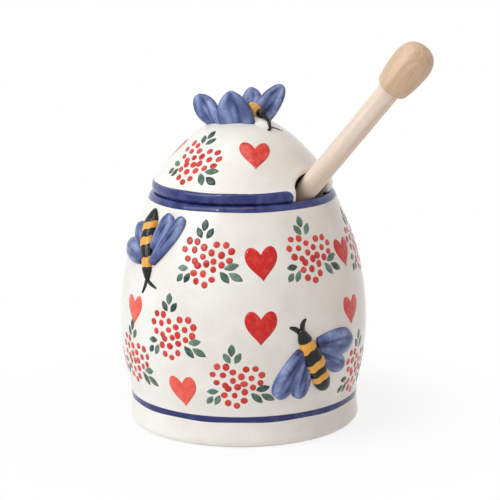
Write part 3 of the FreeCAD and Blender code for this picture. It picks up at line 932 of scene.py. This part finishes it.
def buildWallBee(name, bee):
    f = beeForm
    heading = math.radians(bee["heading"])
    start = climbAt(potSkin, bee["height"])
    girth = skinSpot(potSkin, start)[0]
    seed = len(name) * 1.3

    def place(ahead, aside, lift):
        u = ahead * math.sin(heading) + aside * math.cos(heading)
        v = ahead * math.cos(heading) - aside * math.sin(heading)
        return skinPoint(potSkin, math.radians(bee["turn"]) + u / girth, start + v, lift)

    def spot(ahead, aside, rise):  # the body curves a little to one side
        tail, waist = bee["bend"]
        aside += tail * max(10 - ahead, 0.0) / 25 + waist * math.exp(-(ahead / 6) ** 2)
        return place(ahead, aside, f["lift"] + bee["flat"] * rise)

    path = beeGirth(bee["girth"], 0.3, bee["shift"]) + [(bee["girth"][-1][0] + 0.1, 0.0)]
    verts, faces, marks = rolledLump(path, 44, spot)
    makePiece(name + "_striped_body", verts, faces, "stripes", "pot", [name + "_body"],
              {"stripe": [stripeAt(p - bee["shift"] - bee["slant"] * q, a, seed) for p, q, a in marks]})
    path = [(bee["headGirth"][0][0] - 0.1, 0.0)] + smoothPath(bee["headGirth"], 0.3)
    verts, faces, marks = rolledLump(path, 36, spot)
    makePiece(name + "_round_head", verts, faces, "black", "pot", [name + "_head"])

    for key, (root, tip, half) in bee["wings"].items():
        side, wing = key.split("_")
        hand = -1 if side == "left" else 1
        reach = Vector((tip[0] - root[0], tip[1] - root[1]))
        ahead = Vector((reach.y, -reach.x)).normalized()  # across the wing, towards the head
        # the root's end point takes a dark value, painted shade where the wing meets the wall
        rings, inkAndShade = [], [0.9]
        steps, across, under = f["steps"], f["across"], f["under"]
        relief = f["relief"] * (1.0 if wing == "forewing" else f["hindRelief"])
        for i in range(steps):
            s = 1 - (1 - i / steps) ** 1.5
            share = leafShare(s, f["widest"], f["root"], f["point"])
            thick = relief * (0.5 + 0.5 * share)
            section = []
            for k in range(across + 1):
                t = -math.cos(math.pi * k / across)
                section.append((t, max(thick * (1 - abs(t) ** 2.2) ** 0.55 - 0.5 * groovesAt(s, t), 0.0)))
            section += [(1 - 2 * (k + 1) / (under + 1), f["wingRoot"]) for k in range(under)]
            ring = []
            for t, rise in section:
                w = t * half * share
                out = hand * (root[1] + reach.y * s + ahead.y * w)
                ring.append(place(root[0] + reach.x * s + ahead.x * w, out, rise))
                inkAndShade.append(inkAndShadeAt(s, t, seed + len(key)))
            rings.append(ring)
        inkAndShade.append(0.5)
        verts, faces = loftMesh(rings, place(root[0], hand * root[1], 0.3), place(tip[0], hand * tip[1], 0.2))
        makePiece(name + "_" + side + "_glazed_" + wing, verts, faces, "wing", "pot", [name + "_" + key], {"inkAndShade": inkAndShade})

    patch = newPatch()
    for points, wide in bee["feelers"]:
        layStroke(patch, place, smoothPath(points, 0.4), wide, f["feelerLift"], f["feelerWash"])
    makePaint(name + "_painted_feelers", patch, "feelerPaint", "pot")


for name, bee in wallBees.items():
    buildWallBee(name, bee)
print("wall bees laid on")


# places on the lid's bee are ahead of the lid's axis and to the bee's left
crown = {
    "heading": -7.0, "domeTop": 137.0, "rise": 1.8, "tailDrop": 3.2, "tail": 15.5, "collar": 9.6, "tall": 0.98,
    "girth": [(-15.5, 0.0), (-15.1, 1.2), (-13.0, 2.8), (-8.0, 4.4), (-1.0, 4.9), (5.0, 4.5), (8.6, 3.4), (10.4, 1.9),
              (11.0, 0.0)],
    "headGirth": [(9.2, 0.0), (9.4, 1.0), (10.5, 1.95), (12.0, 2.25), (13.3, 1.85), (14.2, 1.0), (14.4, 0.0)],
    "headDrop": 0.35, "stripeSeed": 4.1, "moundHalf": (17.0, 6.4, 6.4), "moundSink": 4.8, "moundSteps": 40,
    "wingThick": 2.2, "wingWidest": 0.4, "wingSink": 6.0, "wingSteps": 44, "wingAround": 52,
    "wings": {  # root, tip, tip over the dome, half width, root share, bow, turn of root and tip, point
        "right_forewing": ((4.3, -6.0), (4.4, -12.2), 11.9, 8.0, 1.0, 1.0, (33.0, 33.0), 0.7),
        "left_forewing": ((1.2, 5.0), (13.3, 12.6), 12.6, 5.4, 0.62, 0.6, (25.0, 25.0), 0.5),
        "right_hindwing": ((-3.2, -8.2), (-14.2, -14.0), 8.6, 5.7, 1.0, 0.5, (-26.0, 56.0), 0.5),
        "left_hindwing": ((-4.2, 6.6), (-7.0, 14.6), 9.6, 6.9, 0.85, 1.6, (0.0, 0.0), 0.5),
    },
    "feelers": [  # ahead, left and height of points on the mound and the dome, then the stroke's half width
        ([(13.0, -0.8, 138.1), (14.7, 0.3, 136.9), (15.6, 1.0, 134.8), (16.7, 0.2, 133.5), (17.0, 0.0, 132.2),
          (16.6, -1.4, 131.7)], 1.15),
        ([(16.2, 1.2, 133.2), (15.6, 3.9, 132.2), (16.2, 5.0, 131.6), (16.7, 6.4, 130.9), (17.1, 8.0, 130.2)], 0.42),
    ],
}
domeLine = poledPath(lidForm["domePoles"], 44)
bed = {"depth": 2.3, "press": 0.15}  # middle of the dome's wall, and how much of what lies deeper is kept


def domeHeightAt(r):
    for (outer, low), (inner, high) in zip(domeLine, domeLine[1:]):
        if inner <= r:
            return low + (high - low) * (outer - r) / (outer - inner)
    return domeLine[-1][1]


def bedded(verts):  # presses roots into the dome's wall, so that none come through the lid's ceiling
    made = []
    for v in verts:
        floor = (domeHeightAt(math.hypot(v.x, v.y) / mm) - bed["depth"]) * mm
        made.append(v if v.z >= floor else Vector((v.x, v.y, floor + (v.z - floor) * bed["press"])))
    return made


def buildCrownBee():
    c = crown
    facing = math.radians(c["heading"])
    forward = Vector((math.cos(facing), math.sin(facing), 0))
    left = Vector((-math.sin(facing), math.cos(facing), 0))
    up = Vector((0, 0, 1))
    rise = c["domeTop"] + c["rise"]

    def spotAt(ahead, aside, height):
        return forward * ahead + left * aside + up * height

    def bodySpot(ahead, aside, high):
        drop = c["tailDrop"] * max(1 - (ahead + c["tail"]) / (c["tail"] + c["collar"]), 0.0) ** 2
        return spotAt(ahead, aside, rise - drop + c["tall"] * high) * mm

    def headSpot(ahead, aside, high):
        return spotAt(ahead, aside, rise - c["headDrop"] + high) * mm

    def moundSpot(ahead, aside, high):
        wide, tall = c["moundHalf"][1:]
        return spotAt(ahead, wide * aside, c["domeTop"] - c["moundSink"] + tall * high) * mm

    verts, faces, marks = rolledLump(beeGirth(c["girth"], 0.3), 44, bodySpot)
    makePiece("lid_bee_striped_body", verts, faces, "stripes", "lid", ["lid_bee_body"],
              {"stripe": [stripeAt(p, a, c["stripeSeed"]) for p, q, a in marks]})
    verts, faces, marks = rolledLump(smoothPath(c["headGirth"], 0.25), 40, headSpot)
    makePiece("lid_bee_round_head", verts, faces, "black", "lid", ["lid_bee_head"])
    half = [math.pi * k / c["moundSteps"] for k in range(c["moundSteps"] + 1)]
    verts, faces, marks = rolledLump([(-c["moundHalf"][0] * math.cos(a), math.sin(a)) for a in half], 56, moundSpot)
    makePiece("lid_bee_glazed_mound", bedded(verts), faces, "white", "lid", ["lid_bee_mound"],
              {"bare": [0.0] * len(verts)})

    for key, (rootSpot, tipSpot, tipRise, half, rootShare, bow, (rootTurn, tipTurn), point) in c["wings"].items():
        root = spotAt(*rootSpot, c["domeTop"] - c["wingSink"])
        tip = spotAt(*tipSpot, c["domeTop"] + tipRise)
        spine = (tip - root).normalized()
        # the root's end point takes a dark value, painted shade where the wing meets the dome
        rings, inkAndShade = [], [0.8]
        for i in range(c["wingSteps"]):
            s = 1 - (1 - i / c["wingSteps"]) ** 1.5
            blade = math.radians(rootTurn + (tipTurn - rootTurn) * s)
            face = forward * math.cos(blade) + left * math.sin(blade)
            across = (face - spine * spine.dot(face)).normalized()
            out = across.cross(spine).normalized()
            out = -out if out.dot(left) * tipSpot[1] < 0 else out
            share = leafShare(s, c["wingWidest"], rootShare, point)
            width = half * share
            thick = min(c["wingThick"] * (0.55 + 0.45 * share), 0.9 * width)
            ring = []
            for w in turnsOf(c["wingAround"]):
                t = math.cos(w)
                swell = math.copysign(abs(math.sin(w)) ** 0.8, math.sin(w)) * thick * (1 - 0.26 * groovesAt(s, t))
                spot = root + (tip - root) * s + out * (bow * 4 * s * (1 - s) + swell) + across * (width * t)
                ring.append(spot * mm)
                inkAndShade.append(inkAndShadeAt(s, t, len(key) + half))
            rings.append(ring)
        inkAndShade.append(0.5)
        verts, faces = loftMesh(rings, root * mm, tip * mm)
        makePiece("lid_bee_glazed_" + key, bedded(verts), faces, "wing", "lid", ["lid_bee_" + key], {"inkAndShade": inkAndShade})

    patch = newPatch()
    for points, half in c["feelers"]:
        sides = [smoothPath([(i, q[axis]) for i, q in enumerate(points)], 0.2) for axis in range(3)]
        count = min(len(side) for side in sides) - 1
        line = [spotAt(*(side[round(k * (len(side) - 1) / count)][1] for side in sides)) for k in range(count + 1)]
        rings = []
        for k, spot in enumerate(line):
            along = (line[min(k + 1, count)] - line[max(k - 1, 0)]).normalized()
            wide = along.cross(forward + up).normalized()
            tall = wide.cross(along)
            thin = half * (1 - 0.45 * (k / count) ** 2)
            rings.append([(spot + wide * thin * math.cos(a) + tall * 0.5 * thin * math.sin(a)) * mm
                          for a in turnsOf(12)])
        first = len(patch["verts"])
        verts, faces = loftMesh(rings, line[0] * mm, line[-1] * mm)
        patch["verts"] += verts
        patch["faces"] += [tuple(first + v for v in q) for q in faces]
        patch["wash"] += [beeForm["feelerWash"]] * len(verts)
    makePaint("lid_bee_painted_feelers", patch, "feelerPaint", "lid")


buildCrownBee()
print("lid bee built")


# dipper
dipper = {
    "touch": (33.961, 0.0, 106.217), "lean": 42.0, "shaft": 4.75, "shaftLow": -85.03, "knobStart": 64.5,
    "knobLength": 23.0, "knobRadius": 8.4, "knobNeck": 7.0, "tenon": 3.2, "tenonLength": 12.0,
    "headLow": -113.7, "headLength": 31.0, "headRadius": 12.4, "headCore": 7.4, "ribs": 6, "groove": 0.45,
    "grooveSide": [(1.2, 0.06), (0.1, 0.22), (0.0, 0.5), (0.1, 0.78), (1.2, 0.94)],  # over the core, share of the gap
    "chamfer": 0.25, "tenonChamfer": (0.3, 0.4), "glueRoom": 0.05, "shaftSteps": 60, "shaftWave": 0.03,
}


def buildDipper():
    d = dipper
    place = Matrix.Translation(Vector(d["touch"]) * mm) @ Matrix.Rotation(math.radians(d["lean"]), 4, "Y")
    pitch = d["headLength"] / d["ribs"]
    land = pitch * (1 - d["groove"])

    def ribRadius(z):
        share = (z - d["headLength"] / 2) / (d["headLength"] / 2)
        return d["headRadius"] * math.sqrt(1 - 0.52 * share * share)

    profile = [(0.0, 0.0)]
    for rib in range(d["ribs"]):
        low, top = rib * pitch, rib * pitch + land
        for k in range(9):
            a = math.pi * k / 8
            z = low + land * (0.5 - 0.5 * math.cos(a))
            profile.append((ribRadius(z) - 0.55 + 0.5 * math.sin(a) ** 0.7, z))
        if rib < d["ribs"] - 1:
            profile += [(d["headCore"] + over, top + share * (pitch - land)) for over, share in d["grooveSide"]]
    headTop = (d["ribs"] - 1) * pitch + land
    bore, end = d["tenon"] + d["glueRoom"], headTop - d["tenonLength"]
    profile += [(d["shaft"], headTop), (bore, headTop), (bore, end), (0.0, end)]
    verts, faces = turnedMesh([(r, z + d["headLow"]) for r, z in profile], 72)
    makePiece("dipper_ribbed_head", verts, faces, "shaftWood", "dipper", ["dipper_head"], None, place)

    low, high, r, thin = d["shaftLow"], d["knobStart"], d["shaft"], d["tenon"]
    tenon, chamfer, wave, (inset, run) = d["tenonLength"] - 0.1, d["chamfer"], d["shaftWave"], d["tenonChamfer"]
    profile = [(0.0, low - tenon), (thin - inset, low - tenon), (thin, low - tenon + run), (thin, low),
               (r - chamfer, low), (r, low + chamfer)]
    for k in range(1, d["shaftSteps"]):
        z = low + chamfer + (high - low - 2 * chamfer) * k / d["shaftSteps"]
        profile.append((r - wave + wave * math.sin(0.9 * k), z))
    profile += [(r, high - chamfer), (r - chamfer, high), (thin, high), (thin, high + tenon - run),
                (thin - inset, high + tenon), (0.0, high + tenon)]
    verts, faces = turnedMesh(profile, 64)
    makePiece("dipper_turned_shaft", verts, faces, "shaftWood", "dipper", ["dipper_shaft"], None, place)

    length, wide, neck = d["knobLength"], d["knobRadius"], d["knobNeck"]
    swell = length * 0.6
    side = poledPath([(neck, 0.8), (neck + 2 / 3 * (wide - neck), 0.8 + 2 / 3 * (length * 0.3 - 0.8)),
                      (wide, length * 0.3 + (swell - length * 0.3) / 3), (wide, swell)], 18)
    end = poledPath([(wide, swell), (wide, length * 0.87), (wide * 0.66, length), (0.0, length)], 20)
    profile = [(0.0, d["tenonLength"]), (bore, d["tenonLength"]), (bore, 0.0), (neck - 0.8, 0.0), (neck - 0.24, 0.24)]
    profile += side + end[1:]
    verts, faces = turnedMesh([(r, z + d["knobStart"]) for r, z in profile], 72)
    makePiece("dipper_turned_knob", verts, faces, "knobWood", "dipper", ["dipper_grip_knob"], None, place)


buildDipper()
print("dipper turned")


# floor, light and camera
stage = {
    "floorRadius": 2500.0, "floorRings": 12, "floorColumns": 64, "floorColor": (0.93, 0.93, 0.93, 1.0),
    "fill": 0.455, "fillColor": (1.0, 0.92, 0.865, 1.0), "white": (1.0, 1.0, 1.0, 1.0), "aim": 0.075,
    "shadow": (0.055, 0.14, 0.84, 1.0),  # near and far reach in metres, and the share of plain white at each
}


def buildStage():
    rings = stage["floorRings"]
    profile = [(stage["floorRadius"] * k / rings, 0.0) for k in range(rings, -1, -1)]
    verts, faces = turnedMesh(profile, stage["floorColumns"])
    mesh = bpy.data.meshes.new("studio_floor")
    mesh.from_pydata([tuple(v) for v in verts], [], faces)
    floor = bpy.data.objects.new("studio_floor", mesh)
    scene.collection.objects.link(floor)
    made, tree, shader = newFinish("studioFloor")
    shader.inputs["Base Color"].default_value = stage["floorColor"]
    shader.inputs["Roughness"].default_value = 0.9
    shader.inputs["Specular IOR Level"].default_value = 0.1
    lit = addNode(tree, "Emission", None, Color=stage["white"], Strength=1.0)
    place = addNode(tree, "TexCoord").outputs["Object"]
    reach = addNode(tree, "VectorMath", {"operation": "LENGTH"})
    wire(tree, place, reach.inputs[0])
    far = spread(tree, reach.outputs["Value"], *stage["shadow"])
    mix = addNode(tree, "MixShader")
    wire(tree, calc(tree, "MULTIPLY", far, directRays(tree)), mix.inputs["Fac"])
    wire(tree, shader.outputs["BSDF"], mix.inputs[1])
    wire(tree, lit.outputs["Emission"], mix.inputs[2])
    wire(tree, mix.outputs["Shader"], tree.nodes["Material Output"].inputs["Surface"])
    mesh.materials.append(made)

    world = bpy.data.worlds.new("studioWorld")
    scene.world = world
    world.use_nodes = True
    tree = world.node_tree
    back = tree.nodes["Background"]
    direct = directRays(tree)
    strength = addNode(tree, "Mix", {"data_type": "FLOAT"})
    wire(tree, direct, strength.inputs[0])
    strength.inputs[2].default_value = stage["fill"]
    strength.inputs[3].default_value = 1.0
    wire(tree, strength.outputs[0], back.inputs["Strength"])
    wire(tree, mixColor(tree, direct, stage["fillColor"], stage["white"]), back.inputs["Color"])


lamps = {  # bearing from the viewer's line, distance, height, size across, watts, colour
    "keyLamp": (-58, 0.95, 0.75, 0.9, 7.2, (0.83, 0.92, 1.0)),
    "topLamp": (-30, 0.35, 1.25, 0.9, 3.5, (1.0, 1.0, 0.97)),
    "sparkLamp": (-34, 1.0, 0.9, 0.07, 0.45, (1.0, 1.0, 1.0)),
}


def buildLamps():
    for name, (bearing, distance, height, across, watts, color) in lamps.items():
        light = bpy.data.lights.new(name, "AREA")
        light.shape, light.size, light.energy, light.color = "DISK", across, watts, color
        lamp = bpy.data.objects.new(name, light)
        turn = seen(bearing)
        lamp.location = (distance * math.cos(turn), distance * math.sin(turn), height)
        aim = Vector((0, 0, stage["aim"])) - lamp.location
        lamp.rotation_euler = aim.to_track_quat("-Z", "Y").to_euler()
        scene.collection.objects.link(lamp)


view = {
    "location": (0.50021, -0.68847, 0.262536), "pitch": 12.367, "yaw": 35.787, "roll": -0.516, "lens": 140.89,
    "sensor": 36.0, "clipStart": 0.01,
}


def buildCamera():
    camera = bpy.data.cameras.new("photoCamera")
    camera.sensor_width, camera.lens, camera.clip_start = view["sensor"], view["lens"], view["clipStart"]
    eye = bpy.data.objects.new("photoCamera", camera)
    turn = Matrix.Rotation(math.radians(view["yaw"]), 4, "Z")
    turn = turn @ Matrix.Rotation(math.radians(90.0 - view["pitch"]), 4, "X")
    turn = turn @ Matrix.Rotation(math.radians(view["roll"]), 4, "Z")
    eye.matrix_world = Matrix.Translation(Vector(view["location"])) @ turn
    scene.collection.objects.link(eye)
    scene.camera = eye


buildStage()
buildLamps()
buildCamera()
scene.view_settings.view_transform = "Standard"
print("stage set")
